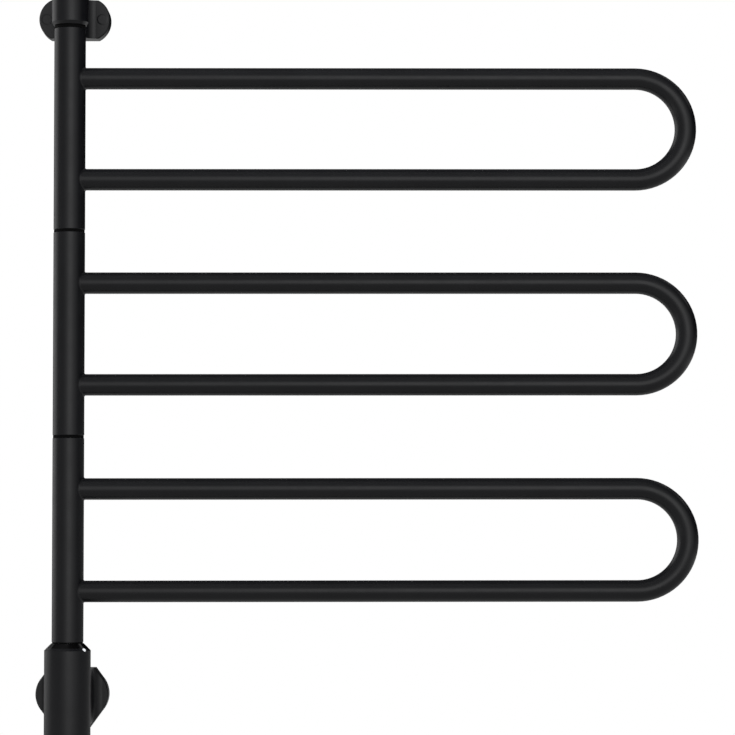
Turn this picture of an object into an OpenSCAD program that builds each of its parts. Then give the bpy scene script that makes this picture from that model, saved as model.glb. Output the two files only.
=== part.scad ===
// Wall-mounted electric towel rail with three U-shaped arms that swing on one post.
// Right-handed frame in millimetres: +Z up, the wall is the plane y = 0, the rail
// stands in front of it at negative y, and the arms reach to +X.
// The origin is the centre of the lower wall bracket on the wall.

/* [Post] */
// Outer diameter of the three swivel sleeves
post_d = 30; // [28:1:34]
// Wall of a swivel sleeve
post_wall = 1.5; // [1:0.1:2]
// Height of the dark seam between two sleeves
seam_h = 2.6; // [1:0.1:4]
// Height of the seam under the lower sleeve
bottom_seam_h = 1; // [0.8:0.1:3]
// Height of the seam over the upper sleeve
top_seam_h = 3.2; // [1:0.1:4]
// Bevel of a sleeve's ends
sleeve_bevel = 0.4; // [0.2:0.1:0.8]
// Distance from the wall to the axis of the post
stand_off = 62; // [58:1:80]

/* [Arms] */
// Outer diameter of the arm tube
arm_d = 20.5; // [18:0.5:22]
// Wall of the arm tube
arm_wall = 1.2; // [1:0.1:1.6]
// Distance from the axis of the post to the outside of the bend
arm_reach = 599; // [300:1:700]
// Distance between the axes of the two bars of an arm
bar_spacing = 97; // [80:1:130]
// Length of the lower and middle sleeves above the axis of their upper bar
top_margin = 48.4; // [44:0.1:80]
// Length of the upper sleeve above the axis of its upper bar
upper_top_margin = 47.8; // [44:0.1:80]
// Length of sleeve below the axis of the lower bar
bottom_margin = 48; // [44:1:80]

/* [Spine and bushes] */
// Outer diameter of the fixed spine tube
spine_d = 20; // [19:0.5:22]
// Wall of the spine tube
spine_wall = 1.5; // [1:0.1:2]
// Height of a bearing bush
bush_h = 12; // [8:1:16]
// Swing of an arm, from one side along the wall to the other
swing = 180; // [90:5:200]
// Diameter of the pin that limits the swing
stop_pin_d = 3; // [2:0.5:4]
// Height of the ring that carries the swing stop
stop_ring_h = 9; // [7:1:14]

/* [Wiring] */
// Diameter of the heating cable in an arm
cable_d = 4; // [3:0.5:4.5]
// Radius of the cable's bend out of the spine
cable_bend_r = 8; // [6:0.5:9]
// Straight tail of the heating cable below its bend
cable_tail = 26; // [20:1:30]
// Diameter of a supply lead in the spine
lead_d = 2.8; // [2:0.1:3]

/* [Control housing] */
// Outer diameter of the control housing
housing_d = 44; // [42:1:50]
// Wall of the housing tube
housing_wall = 2.8; // [1.5:0.1:3]
// Length of the housing tube
housing_h = 104; // [96:1:140]
// Bevel of the housing's upper rim, which carries on the slope of the shoulder
rim_bevel = 2.4; // [0.5:0.1:2.6]
// Bevel of the housing's lower rim
housing_bevel = 0.7; // [0.3:0.1:1.2]
// Height of the sloping shoulder on the housing
shoulder_h = 4.2; // [3:0.1:10]
// Height of the control knob
knob_h = 16; // [12:1:24]
// Turn of the control knob
knob_turn = 270; // [180:10:300]
// Diameter of the indicator lens in the housing's upper rim
lens_d = 3.6; // [2:0.1:4]
// Direction of the lens, in degrees from straight ahead towards the arms
lens_turn = 54; // [20:1:60]

/* [Top collar] */
// Outer diameter of the collar
collar_d = 35; // [34:1:40]
// Wall of the collar
collar_wall = 2.5; // [2:0.5:3]
// Height of the collar
collar_h = 34; // [32:1:50]
// Height of the bevel at the collar's lower end
collar_lip_h = 3; // [1:0.5:5]
// Height of the cap on the collar
cap_h = 4; // [3:0.5:8]
// Distance from the collar's lower end up to the centre of its wall bracket
collar_drop = 14; // [13:0.5:18]

/* [Wall brackets] */
// Half of the width of the upper wall plate
plate_half = 34.5; // [32:0.5:40]
// Half of the width of the lower wall plate
lower_plate_half = 35.1; // [32:0.1:40]
// Thickness of a wall plate
plate_t = 16; // [12:1:20]
// Bevel of a wall plate's front edge
plate_bevel = 1; // [0.5:0.1:1.5]
// Half of the height of the upper bracket
upper_half_h = 18.8; // [17:0.1:20]
// Radius of the round sides of the upper bracket
upper_side_r = 21.2; // [20.5:0.1:24]
// Height of the lower bracket above its centre
lower_top = 25.3; // [25:0.1:30]
// Radius of the round sides of the lower bracket
lower_side_r = 24.5; // [20:0.5:26]
// Radius of the lower bracket's foot
lower_tip_r = 12; // [12:0.5:14]
// Distance from the lower bracket's centre down to the centre of its foot
lower_tip_drop = 35.5; // [35:0.5:45]
// Half of the width of the upper bracket's neck
neck_half = 10; // [9.5:0.5:12]
// Radius of the hollow sweep from the upper bracket's neck to its plate
sweep_r = 10.5; // [8:0.5:13]
// Half of the width of the lower bracket's neck
lower_neck_half = 20.5; // [14:0.5:21]
// Radius of the hollow sweep from the lower bracket's neck to its plate
lower_sweep_r = 9; // [8:0.5:13]
// Distance from the wall to the front of the lower bracket's neck, beside the housing
lower_neck_front = 50; // [44:0.5:52]
// Diameter of a wall screw's hole
wall_screw_d = 4.8; // [4:0.1:5]
// Distance of an upper wall screw from the side of its plate
upper_screw_inset = 7.5; // [7:0.5:9]
// Diameter of the caps over the upper bracket's wall screws
screw_cap_d = 11; // [10:0.5:12]
// How far a screw cap stands proud of its plate
cap_proud = 0.2; // [0.1:0.1:0.8]
// Width of a screw cap's sloped edge
cap_edge_w = 1.2; // [0.5:0.1:2]
// Distance between the lower bracket's two wall screws
lower_screw_span = 36; // [34:1:37]
// Diameter of the supply cable that the grommet takes
supply_d = 7; // [6:0.5:8]

/* [Hidden] */
$fn = 64;
turn_gap = 0.08; // radial clearance where one piece turns on another
fit_gap = 0.05; // clearance between pieces fixed to each other
face_gap = 0.15; // clearance between faces that slide past each other
lay_gap = 0.3; // clearance of a loose cable from what it lies on
eps = 1; // how far a cut runs past a face
sink = 0.1; // how far one shape of a solid reaches into the next

// Radii
post_r = post_d / 2;
sleeve_in_r = post_r - post_wall;
spine_r = spine_d / 2;
spine_in_r = spine_r - spine_wall;
seam_washer_r = post_r - 0.4;
arm_r = arm_d / 2;
arm_in_r = arm_r - arm_wall;
housing_r = housing_d / 2;
housing_in_r = housing_r - housing_wall;
rim_land = 0.3; // flat left on the housing's upper rim, inside its bevel
shoulder_r = housing_r - min(rim_bevel, housing_wall - rim_land);
collar_r = collar_d / 2;
collar_in_r = collar_r - collar_wall;
cable_r = cable_d / 2;
lead_r = lead_d / 2;
bend_r = bar_spacing / 2;
bend_x = arm_reach - arm_r - bend_r; // centre of the arm's bend

// Levels, counted from the centre of the lower bracket
shoulder_top = 51;
function sleeve_h(i) = bottom_margin + bar_spacing + (i == 2 ? upper_top_margin : top_margin);
pitch = sleeve_h(0) + seam_h;
function sleeve_z(i) = shoulder_top + bottom_seam_h + i * pitch; // lower end of sleeve i
function sleeve_top(i) = sleeve_z(i) + sleeve_h(i);
function bar_z(i) = sleeve_z(i) + bottom_margin; // lower bar of arm i
housing_top = shoulder_top - shoulder_h;
housing_bottom = housing_top - housing_h;
collar_bottom = sleeve_top(2) + top_seam_h;
collar_top = collar_bottom + collar_h;
upper_z = collar_bottom + collar_drop; // centre of the upper bracket

// Cable in an arm: it lies on the bottom of the lower bar
cable_drop = arm_in_r - cable_r - lay_gap;
function cable_z(i) = bar_z(i) - cable_drop;
window_half_h = cable_r + 2;
window_back = cable_r + 0.9; // the spine's window is open in front of this plane
seal_l = 12;
seal_wall = 0.23;
seal_x = post_r + 16; // where the cable's sealed end stops short of the post

// Swing stop
stop_ring_r = spine_r + 1.3;
lug_r = sleeve_in_r - lay_gap;
stop_mid_r = (stop_ring_r + sleeve_in_r) / 2;
pin_half_angle = asin(stop_pin_d / 2 / stop_mid_r);
stop_slack = 3; // free turn beyond each end of the swing, in degrees
lug_angle = 360 - swing - 2 * (pin_half_angle + stop_slack);
function stop_z(i) = sleeve_top(i) - bush_h - 3 - stop_ring_h;

// Spine and what holds its ends
foot_h = 10;
foot_floor = 1;
spigot_h = 12;
spigot_wall = 3.5;
foot_top = housing_top - spigot_h - 0.5;
foot_bottom = foot_top - foot_h;
insert_h = 11;
insert_bottom = collar_bottom + 0.5;
spine_top = insert_bottom + insert_h - 0.5;
foot_screw_turn = 40; // of each foot screw, from straight behind
foot_screw_r = 2;
foot_screw_in = spine_r + 2.5; // where a foot screw ends, near the spine

// Supply leads: each runs up the back of the spine and crosses to the axis
lead_ring_r = spine_in_r - lead_r - lay_gap;
lead_turns = [120, 90, 60]; // direction of each lead, by section
jog_r = lead_ring_r / 2; // two quarter bends reach from the ring to the axis
splice_r = 3;
splice_h = 14;
lead_in_splice = 6;
function splice_mid(i) = cable_z(i) - cable_bend_r - cable_tail;

// Lens in the bevel of the housing's rim, and the lamp and wire behind it
lens_r = lens_d / 2;
slope_tilt = 45; // of the bevel's normal from vertical
lens_inset = 1; // from the housing's side to the middle of the lens
lens_mid_r = housing_r - lens_inset;
lens_mid_z = housing_top + shoulder_r - lens_mid_r;
lens_dome_r = 0.58 * lens_d;
lens_dome_z = -0.3 * lens_d; // centre of the dome, along the lens
lens_recess_w = 0.4;
lens_recess_h = 0.5;
led_wire_r = 0.7;
led_wire_way = led_wire_r + 0.5;
led_wire_out = spine_r + 3.9; // from the axis of the post to the wire
led_wire_x = led_wire_out * sin(lens_turn);
led_wire_y = -led_wire_out * cos(lens_turn);
led_reach = (lens_mid_r - led_wire_out) / sin(slope_tilt); // depth at which the lamp meets the wire
led_top = 3.2; // depths below the bevel, along the lens
led_bottom = led_reach + 0.5;

// Inside of the housing
switch_r = 8;
switch_h = 7;
board_w = 2 * (housing_in_r - 5);
board_t = 1.6;
board_top = foot_bottom - 3;
board_bottom = housing_bottom + switch_h + face_gap;
relay = [12, 9, 16];
relay_x = relay[0] + 2.2 - board_w / 2; // its side towards the middle
relay_up = 10; // above the board's lower edge
capacitor_r = 4;
capacitor_l = 8;
capacitor_x = board_w / 2 - 8.2;
capacitor_up = 30;
led_plug_w = 3;
led_plug_h = 8;
led_wire_in_plug = 5;
connector_h = 14;
connector_top = board_top - 2;
lead_in_connector = 3;
cover_t = 3;
cover_spigot_h = 8;
cover_spigot_wall = 2.5;
cover_gap = 0.5; // between the cover and the knob
seal_z = 3; // height of the seal's groove above the cover
seal_h = 1.6;
seal_groove = 1.2;
shaft_r = 3;
knob_hub_r = 6;
knob_wall = 3;
knob_floor = 3;
knob_low_bevel = 1.5;
knob_top_bevel = 0.5;
knob_flute_r = 6;
knob_flute_depth = 1;
knob_top = housing_bottom - cover_t - cover_gap;
knob_bottom = knob_top - knob_h;
knob_peg_r = 1.5; // peg under the cover that limits the knob's turn
knob_peg_l = 7;
knob_track_r = 12; // radius that the peg runs on inside the knob
knob_peg_angle = asin(knob_peg_r / knob_track_r) + 2;

// Brackets
saddle_low = stand_off - housing_r; // distance from the wall to the housing
saddle_top = stand_off - collar_r; // distance from the wall to the collar
pocket_half = 6;
pocket_back = 5; // wall behind the lower bracket's pocket
pocket_top = 14;
pocket_bottom = -30;
housing_screw_z = [pocket_top + 4.5, pocket_bottom - 4.5];
collar_screw_z = [2.5, 10.5]; // above the upper bracket's centre
m4_r = 2;
m4_head_r = 3.5;
m4_head_h = 2.2;
m4_socket_r = 1.4;
m4_socket_h = 1.2;
m4_screw_l = 11;
m4_thread_l = 12;
grommet_z = (pocket_top + pocket_bottom) / 2;
grommet_r = 5;
entry_r = supply_d / 2;
grommet_flange = 1.15; // thickness of the grommet's flange
screw_cap_t = 3;
screw_cap_seat = 6; // plate left behind a screw cap's hole

// Supply terminal, just below the cable's entry
terminal_w = board_w - 4.4;
terminal_t = 11;
terminal_h = 15;
terminal_z = grommet_z - 18;
pole_pitch = terminal_w / 3.2;
pole_screw_r = 1.9;
pole_screw_z = 4; // above the terminal's lower end

// Helpers

// Moves to the axis of the post
module at_post(z = 0) {
    translate([0, -stand_off, z]) children();
}

// A round tube or ring standing on z = 0
module ring(outer_r, inner_r, h) {
    difference() {
        cylinder(r = outer_r, h = h);
        translate([0, 0, -eps]) cylinder(r = inner_r, h = h + 2 * eps);
    }
}

// A tube standing on z = 0 with bevels round the outside of its two ends
module bevelled_tube(outer_r, inner_r, h, low_bevel, top_bevel) {
    rotate_extrude() polygon([
        [inner_r, 0], [outer_r - low_bevel, 0], [outer_r, low_bevel],
        [outer_r, h - top_bevel], [outer_r - top_bevel, h], [inner_r, h]
    ]);
}

// A rod along +X
module rod_x(r, length) {
    rotate([0, 90, 0]) cylinder(r = r, h = length);
}

// A rod along +Y
module rod_y(r, length) {
    rotate([-90, 0, 0]) cylinder(r = r, h = length);
}

// The solid hairpin that a bar, bend and second bar follow, its lower leg on z = 0
module hairpin(r, from_lower, from_upper) {
    translate([from_lower, 0, 0]) rod_x(r, bend_x - from_lower);
    translate([from_upper, 0, bar_spacing]) rod_x(r, bend_x - from_upper);
    translate([bend_x, 0, bend_r]) rotate([90, 0, 0])
        rotate([0, 0, -90]) rotate_extrude(angle = 180) translate([bend_r, 0]) circle(r = r);
}

// A quarter bend of a cable from straight up to straight along +X
module quarter_bend(r, turn_r) {
    translate([turn_r, 0, 0]) rotate([90, 0, 0]) rotate([0, 0, 90])
        rotate_extrude(angle = 90) translate([turn_r, 0]) circle(r = r);
}

// Swivel sections, the same three times

module sleeve(i) {
    color("#1d1e20") at_post(sleeve_z(i)) difference() {
        bevelled_tube(post_r, sleeve_in_r, sleeve_h(i), sleeve_bevel, sleeve_bevel);
        // Way for the heating cable into the lower bar
        translate([0, 0, bottom_margin - cable_drop]) rod_x(cable_r + lay_gap, post_r + eps);
        // Vent hole that joins the upper bar to the sleeve
        translate([0, 0, bottom_margin + bar_spacing]) rod_x(arm_in_r / 2, post_r + eps);
        // Threaded hole of the stop pin
        translate([0, 0, stop_z(i) - sleeve_z(i) + stop_ring_h / 2])
            rod_y(stop_pin_d / 2 + fit_gap, post_r + eps);
    }
}

module arm(i) {
    color("#1d1e20") at_post(bar_z(i)) difference() {
        hairpin(arm_r, 0, 0);
        hairpin(arm_in_r, -eps, -eps);
        // Ends cut to the round of the sleeve that they are welded to
        translate([0, 0, -arm_d]) cylinder(r = post_r + fit_gap / 2, h = bar_spacing + 2 * arm_d);
    }
}

module bush(z) {
    color("#101011") at_post(z) ring(sleeve_in_r - fit_gap, spine_r + turn_gap, bush_h);
}

module heating_cable(i) {
    color("#8a2f1c") at_post(cable_z(i)) {
        translate([0, 0, -cable_bend_r - cable_tail]) cylinder(r = cable_r, h = cable_tail);
        translate([0, 0, -cable_bend_r]) quarter_bend(cable_r, cable_bend_r);
        hairpin(cable_r, cable_bend_r, seal_x);
    }
}

// Shrink-on cap over the cold end of the heating cable
module cable_seal(i) {
    color("#26262a") at_post(cable_z(i) + bar_spacing) translate([seal_x - 3, 0, 0]) difference() {
        rod_x(cable_r + seal_wall, seal_l);
        translate([3 - fit_gap / 2, 0, 0]) rod_x(cable_r + fit_gap / 2, seal_l);
    }
}

module stop_pin(i) {
    color("#55575a") at_post(stop_z(i) + stop_ring_h / 2) difference() {
        translate([0, stop_ring_r + lay_gap, 0])
            rod_y(stop_pin_d / 2, post_r - stop_ring_r - 2 * lay_gap);
        // Hexagon socket
        translate([0, post_r - lay_gap - 1, 0]) rotate([-90, 0, 0])
            cylinder(r = stop_pin_d / 4, h = 1 + eps, $fn = 6);
    }
}

module stop_ring(i) {
    color("#101011") at_post(stop_z(i)) {
        ring(stop_ring_r, spine_r + fit_gap, stop_ring_h);
        // The lug that the pin meets at each end of the swing
        rotate([0, 0, 90 + pin_half_angle + stop_slack]) rotate_extrude(angle = lug_angle)
            translate([stop_ring_r - sink, 0]) square([lug_r - stop_ring_r + sink, stop_ring_h]);
    }
}

// Washer in a seam that starts at height z
module seam_washer(z, gap) {
    color("#050505") at_post(z + face_gap)
        ring(seam_washer_r, spine_r + turn_gap, gap - 2 * face_gap);
}

// Spine

module spine_tube() {
    color("#9b9da0") difference() {
        at_post(foot_bottom + foot_floor)
            ring(spine_r, spine_in_r, spine_top - foot_bottom - foot_floor);
        // One window for each arm's cable, open over the swing and closed behind
        for (i = [0 : 2]) at_post(cable_z(i))
            translate([-spine_d, window_back - 2 * spine_d, -window_half_h])
                cube([2 * spine_d, 2 * spine_d, 2 * window_half_h]);
    }
}

module spine_foot() {
    color("#9b9da0") at_post(foot_bottom) difference() {
        cylinder(r = housing_in_r - fit_gap, h = foot_h);
        translate([0, 0, foot_floor - fit_gap]) cylinder(r = spine_r + fit_gap, h = foot_h);
        translate([0, 0, -eps]) cylinder(r = spine_in_r, h = foot_h);
        for (side = [-1, 1]) translate([0, 0, foot_h / 2])
            rotate([0, 0, side * foot_screw_turn]) translate([0, foot_screw_in - 0.5, 0])
                rod_y(foot_screw_r + fit_gap, housing_r);
        // Way for the wire of the indicator
        translate([led_wire_x, led_wire_y, -eps]) cylinder(r = led_wire_way, h = foot_h + 2 * eps);
    }
}

module spine_foot_screws() {
    color("#2a2b2e") for (side = [-1, 1]) at_post(foot_bottom + foot_h / 2)
        rotate([0, 0, side * foot_screw_turn]) difference() {
            translate([0, foot_screw_in, 0]) rod_y(foot_screw_r, housing_r - foot_screw_in - 0.5);
            // Hexagon socket
            translate([0, housing_r - 0.5 - foot_screw_r, 0]) rotate([-90, 0, 0])
                cylinder(r = foot_screw_r * 0.55, h = foot_screw_r + eps, $fn = 6);
        }
}

// Wiring in the spine

// Supply lead of section i, from the connector up to its splice
module lead(i) {
    low = connector_top - lead_in_connector;
    on_axis = splice_mid(i) - 1 - lead_in_splice;
    jog = on_axis - 2 * jog_r;
    color("#1c1c1e") at_post() rotate([0, 0, lead_turns[i]]) {
        // Up the back of the spine
        translate([lead_ring_r, 0, low]) cylinder(r = lead_r, h = jog - low);
        // Two quarter bends that bring it to the axis
        translate([jog_r, 0, jog]) rotate([90, 0, 0])
            rotate_extrude(angle = 90) translate([jog_r, 0]) circle(r = lead_r);
        translate([jog_r, 0, on_axis]) rotate([90, 0, 0]) rotate([0, 0, 180])
            rotate_extrude(angle = 90) translate([jog_r, 0]) circle(r = lead_r);
        // On the axis, into the splice
        translate([0, 0, on_axis]) cylinder(r = lead_r, h = lead_in_splice);
    }
}

// Sleeve round the place where the fixed lead meets the turning cable
module splice(i) {
    color("#b0b2b5") at_post(splice_mid(i) - splice_h / 2) difference() {
        cylinder(r = splice_r, h = splice_h);
        translate([0, 0, -eps]) cylinder(r = lead_r + fit_gap, h = splice_h / 2 + eps - 0.5);
        translate([0, 0, splice_h / 2 - 0.5]) cylinder(r = cable_r + turn_gap, h = splice_h);
    }
}

// Control housing

module housing_tube() {
    color("#1d1e20") at_post(housing_bottom) difference() {
        bevelled_tube(housing_r, housing_in_r, housing_h, housing_bevel, housing_r - shoulder_r);
        // Window behind, for the supply cable
        translate([0, 0, grommet_z - housing_bottom]) rod_y(pocket_half, housing_r + eps);
        // Holes of the screws that hold it to the bracket
        for (z = housing_screw_z) translate([0, 0, z - housing_bottom])
            rod_y(m4_r + 2 * fit_gap, housing_r + eps);
        // Holes of the foot screws
        for (side = [-1, 1]) translate([0, 0, foot_bottom + foot_h / 2 - housing_bottom])
            rotate([0, 0, side * foot_screw_turn])
                rod_y(foot_screw_r + 2 * fit_gap, housing_r + eps);
        translate([0, stand_off, -housing_bottom]) lens_way();
    }
}

// Moves to the lens: its axis becomes Z, with z = 0 on the bevel
module at_lens() {
    at_post() rotate([0, 0, lens_turn - 90]) translate([lens_mid_r, 0, lens_mid_z])
        rotate([0, slope_tilt, 0]) children();
}

// Bore of the lens with a shallow recess round its mouth, through the rim and the shoulder
module lens_way() {
    at_lens() {
        translate([0, 0, -led_bottom - eps]) cylinder(r = lens_r + fit_gap, h = led_bottom + 4 * eps);
        translate([0, 0, -lens_recess_h])
            cylinder(r = lens_r + lens_recess_w, h = lens_recess_h + 3 * eps);
    }
}

module shoulder_ring() {
    spigot_bottom = housing_top - spigot_h;
    hollow_h = spigot_h - 1.5;
    color("#060606") difference() {
        at_post() rotate_extrude() polygon([
            [spine_r + fit_gap, spigot_bottom],
            [housing_in_r - fit_gap, spigot_bottom],
            [housing_in_r - fit_gap, housing_top + fit_gap],
            [shoulder_r, housing_top + fit_gap],
            [post_r + sleeve_bevel, shoulder_top],
            [spine_r + fit_gap, shoulder_top]
        ]);
        // Hollow underneath for the lamp, and the way of its wire
        at_post(spigot_bottom - eps) {
            ring(housing_in_r - spigot_wall, spine_r + 2, hollow_h + eps);
            translate([led_wire_x, led_wire_y, 0]) cylinder(r = led_wire_way, h = hollow_h + eps);
        }
        lens_way();
    }
}

module indicator_lens() {
    color("#f4f6f8") at_lens() {
        translate([0, 0, 0.2 - led_top]) cylinder(r = lens_r, h = led_top - 0.3);
        // Domed end
        intersection() {
            translate([0, 0, lens_dome_z]) sphere(r = lens_dome_r);
            translate([0, 0, -0.2]) cylinder(r = lens_r, h = lens_r);
        }
    }
}

// Lamp behind the lens, with its wire down to the board
module indicator_led() {
    wire_bottom = board_top - led_wire_in_plug;
    wire_top = lens_mid_z - led_reach * cos(slope_tilt);
    color("#dfe3e6") {
        at_lens() translate([0, 0, -led_bottom])
            cylinder(r = lens_r - fit_gap, h = led_bottom - led_top);
        at_post() translate([led_wire_x, led_wire_y, wire_bottom])
            cylinder(r = led_wire_r, h = wire_top - wire_bottom);
    }
}

// Board with its relay, its capacitor and the plug of the indicator's wire
module control_board() {
    color("#1f4a2c") at_post() difference() {
        union() {
            translate([-board_w / 2, -board_t / 2, board_bottom])
                cube([board_w, board_t, board_top - board_bottom]);
            translate([relay_x - relay[0], -board_t / 2 - relay[1], board_bottom + relay_up])
                cube(relay + [0, board_t / 2, 0]);
            translate([capacitor_x, -board_t / 2 - capacitor_l, board_bottom + capacitor_up])
                rod_y(capacitor_r, capacitor_l + board_t / 2);
            translate([led_wire_x, led_wire_y, board_top] - [led_plug_w / 2, led_plug_w / 2, led_plug_h])
                cube([led_plug_w, led_plug_w / 2 - led_wire_y, led_plug_h]);
        }
        translate([led_wire_x, led_wire_y, board_top - led_wire_in_plug - fit_gap])
            cylinder(r = led_wire_r + fit_gap, h = led_wire_in_plug + eps);
    }
}

// Two grooved rails that hold the board, on a ring that stands on the cover
module board_carrier() {
    rail_w = 3;
    rail_t = 7;
    groove = 1.4;
    color("#3a3b3e") at_post(housing_bottom) difference() {
        union() {
            for (side = [-1, 1])
                translate([side * (board_w / 2 + rail_w / 2 - groove) - rail_w / 2, -rail_t / 2, 0])
                    cube([rail_w, rail_t, board_top - housing_bottom - 12]);
            ring(board_w / 2 + 1, switch_r + 1, 3);
        }
        translate([-board_w / 2 - fit_gap, -board_t / 2 - fit_gap, board_bottom - housing_bottom])
            cube([board_w + 2 * fit_gap, board_t + 2 * fit_gap, board_top - board_bottom]);
    }
}

// Plug-in connector for the three arm leads, on the back of the board
module arm_connector() {
    color("#2f7a46") at_post(connector_top - connector_h) difference() {
        translate([-8, board_t / 2, 0])
            cube([16, lead_ring_r + lead_r + 1.5 - board_t / 2, connector_h]);
        for (turn = lead_turns) rotate([0, 0, turn])
            translate([lead_ring_r, 0, connector_h - lead_in_connector - lay_gap])
                cylinder(r = lead_r + fit_gap, h = lead_in_connector + lay_gap + eps);
    }
}

// Three-pole screw terminal for the supply, on the back of the board
module supply_terminal() {
    color("#c9cbc6") at_post(terminal_z) difference() {
        translate([-terminal_w / 2, board_t / 2, 0]) cube([terminal_w, terminal_t, terminal_h]);
        for (pole = [-1 : 1]) translate([pole * pole_pitch, board_t / 2, 0]) {
            // Entry of a wire from above
            translate([0, terminal_t / 2, terminal_h / 2]) cylinder(r = 1.8, h = terminal_h);
            // Seat of the screw
            translate([0, terminal_t - 4, pole_screw_z]) rod_y(pole_screw_r + sink, 4 + eps);
        }
    }
}

module terminal_screws() {
    color("#c8a24a") at_post(terminal_z) for (pole = [-1 : 1])
        translate([pole * pole_pitch, board_t / 2 + terminal_t - 3.7, pole_screw_z]) difference() {
            rod_y(pole_screw_r, 3);
            translate([-2.5, 2.3, -0.4]) cube([5, 1, 0.8]);
        }
}

// Rotary switch on the cover, over its hole
module dial_switch() {
    color("#202124") at_post(housing_bottom) difference() {
        cylinder(r = switch_r, h = switch_h);
        translate([0, 0, -eps]) cylinder(r = shaft_r + turn_gap, h = switch_h - 1);
    }
}

module bottom_cover() {
    color("#141416") at_post() difference() {
        union() {
            translate([0, 0, housing_bottom - cover_t])
                cylinder(r = housing_r - housing_bevel, h = cover_t - fit_gap);
            translate([0, 0, housing_bottom - 2 * fit_gap])
                ring(housing_in_r - fit_gap, housing_in_r - cover_spigot_wall, cover_spigot_h);
            // Peg that the knob's rib meets at each end of its turn
            translate([knob_track_r, 0, knob_top + cover_gap - knob_peg_l])
                cylinder(r = knob_peg_r, h = knob_peg_l + eps);
        }
        translate([0, 0, housing_bottom - cover_t - eps])
            cylinder(r = shaft_r + turn_gap, h = cover_t + 2 * eps);
        // Groove of the seal
        translate([0, 0, housing_bottom + seal_z]) ring(housing_r, housing_in_r - seal_groove, seal_h);
    }
}

module cover_seal() {
    color("#0a0a0a") at_post(housing_bottom + seal_z + fit_gap)
        ring(housing_in_r - fit_gap / 2, housing_in_r - seal_groove + fit_gap, seal_h - 2 * fit_gap);
}

module control_knob() {
    color("#1d1e20") at_post() difference() {
        rotate_extrude() polygon([
            [0, knob_bottom], [housing_r - knob_low_bevel, knob_bottom],
            [housing_r, knob_bottom + knob_low_bevel], [housing_r, knob_top - knob_top_bevel],
            [housing_r - knob_top_bevel, knob_top], [0, knob_top]
        ]);
        // Hollow round the hub, but for the rib that meets the cover's peg
        translate([0, 0, knob_bottom + knob_floor]) difference() {
            ring(housing_r - knob_wall, knob_hub_r, knob_h);
            rotate([0, 0, knob_peg_angle]) rotate_extrude(angle = 360 - knob_turn - 2 * knob_peg_angle)
                translate([knob_track_r - 3, 0]) square([6, knob_h - knob_floor - 1]);
        }
        translate([0, 0, knob_bottom + knob_floor])
            cylinder(r = shaft_r + fit_gap, h = knob_h);
        // Finger flutes
        for (k = [0 : 11]) rotate([0, 0, 15 + 30 * k])
            translate([housing_r + knob_flute_r - knob_flute_depth, 0, knob_bottom - eps])
                cylinder(r = knob_flute_r, h = knob_h - 3);
    }
}

module knob_shaft() {
    color("#b8babd") at_post(knob_bottom + knob_floor + fit_gap)
        cylinder(r = shaft_r, h = housing_bottom + switch_h - 3 - knob_bottom - knob_floor);
}

// Wall brackets

// Outline of a bracket seen from above: the wall plate, the neck and the hollow sweep between
module bracket_plan(plate, neck, sweep) {
    difference() {
        union() {
            translate([-plate - eps, -plate_t]) square([2 * (plate + eps), plate_t]);
            translate([-neck - sweep, -plate_t - sweep]) square([2 * (neck + sweep), sweep + eps]);
            translate([-neck, -stand_off]) square([2 * neck, stand_off - eps]);
        }
        for (side = [-1, 1]) translate([side * (neck + sweep), -plate_t - sweep]) circle(r = sweep);
    }
}

// Half of a flank of the lower bracket: the line that touches its side circle and its foot circle
lower_side = [lower_plate_half - lower_side_r, 0];
lower_tip = [0, -lower_tip_drop];
flank_turn = atan2(lower_tip_drop, lower_side[0])
    - acos((lower_tip_r - lower_side_r) / norm(lower_side - lower_tip));
flank_normal = [cos(flank_turn), sin(flank_turn)];
flank_inside = 0.03; // how far the flank lies inside the two circles
flank_from = lower_side + (lower_side_r - flank_inside) * flank_normal;
flank_to = lower_tip + (lower_tip_r - flank_inside) * flank_normal;

// Front view between the circles of the lower bracket: an eight-sided figure
module lower_flanks(inset = 0) {
    from = flank_from - inset * flank_normal;
    to = flank_to - inset * flank_normal;
    right = [to, from, [from[0], -from[1]], [to[0], -to[1]]];
    polygon([for (p = right) p, for (k = [3 : -1 : 0]) [-right[k][0], right[k][1]]]);
}

// Everything from far below up to a height, seen from the front
module below(height) {
    wide = 4 * lower_plate_half;
    translate([-wide / 2, height - 2 * wide]) square([wide, 2 * wide]);
}

// Disc on the wall with a bevelled front edge
module plate_disc(r) {
    rotate([90, 0, 0]) rotate_extrude() polygon([
        [0, 0], [r, 0], [r, plate_t - plate_bevel], [r - plate_bevel, plate_t], [0, plate_t]
    ]);
}

// Wall plate of the lower bracket: three discs and the figure between them, with bevelled flanks
module lower_plate() {
    bevel_cut = 4 * lower_plate_half;
    for (way = [-1, 1]) translate([way * lower_side[0], 0, 0]) plate_disc(lower_side_r);
    translate([0, 0, -lower_tip_drop]) plate_disc(lower_tip_r);
    difference() {
        from_wall(plate_t) lower_flanks();
        for (way = [0, 1], up = [0, 1]) mirror([way, 0, 0]) mirror([0, 0, up])
            rotate([90, 0, 0]) rotate([0, 0, flank_turn])
                translate([flank_normal * flank_from, 0, plate_t]) rotate([0, 45, 0])
                    translate([-bevel_cut / 2, -bevel_cut / 2, -plate_bevel / sqrt(2)])
                        cube(bevel_cut);
    }
}

// Wall plate of the upper bracket: two discs and the block between them
module upper_plate() {
    centre = plate_half - upper_side_r;
    for (way = [-1, 1]) translate([way * centre, 0, 0]) plate_disc(upper_side_r);
    translate([-centre, -plate_t, -upper_half_h]) cube([2 * centre, plate_t, 2 * upper_half_h]);
}

// Stands a 2D front view up in the wall plane and gives it depth towards the room
module from_wall(depth) {
    rotate([90, 0, 0]) linear_extrude(depth) children();
}

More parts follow.
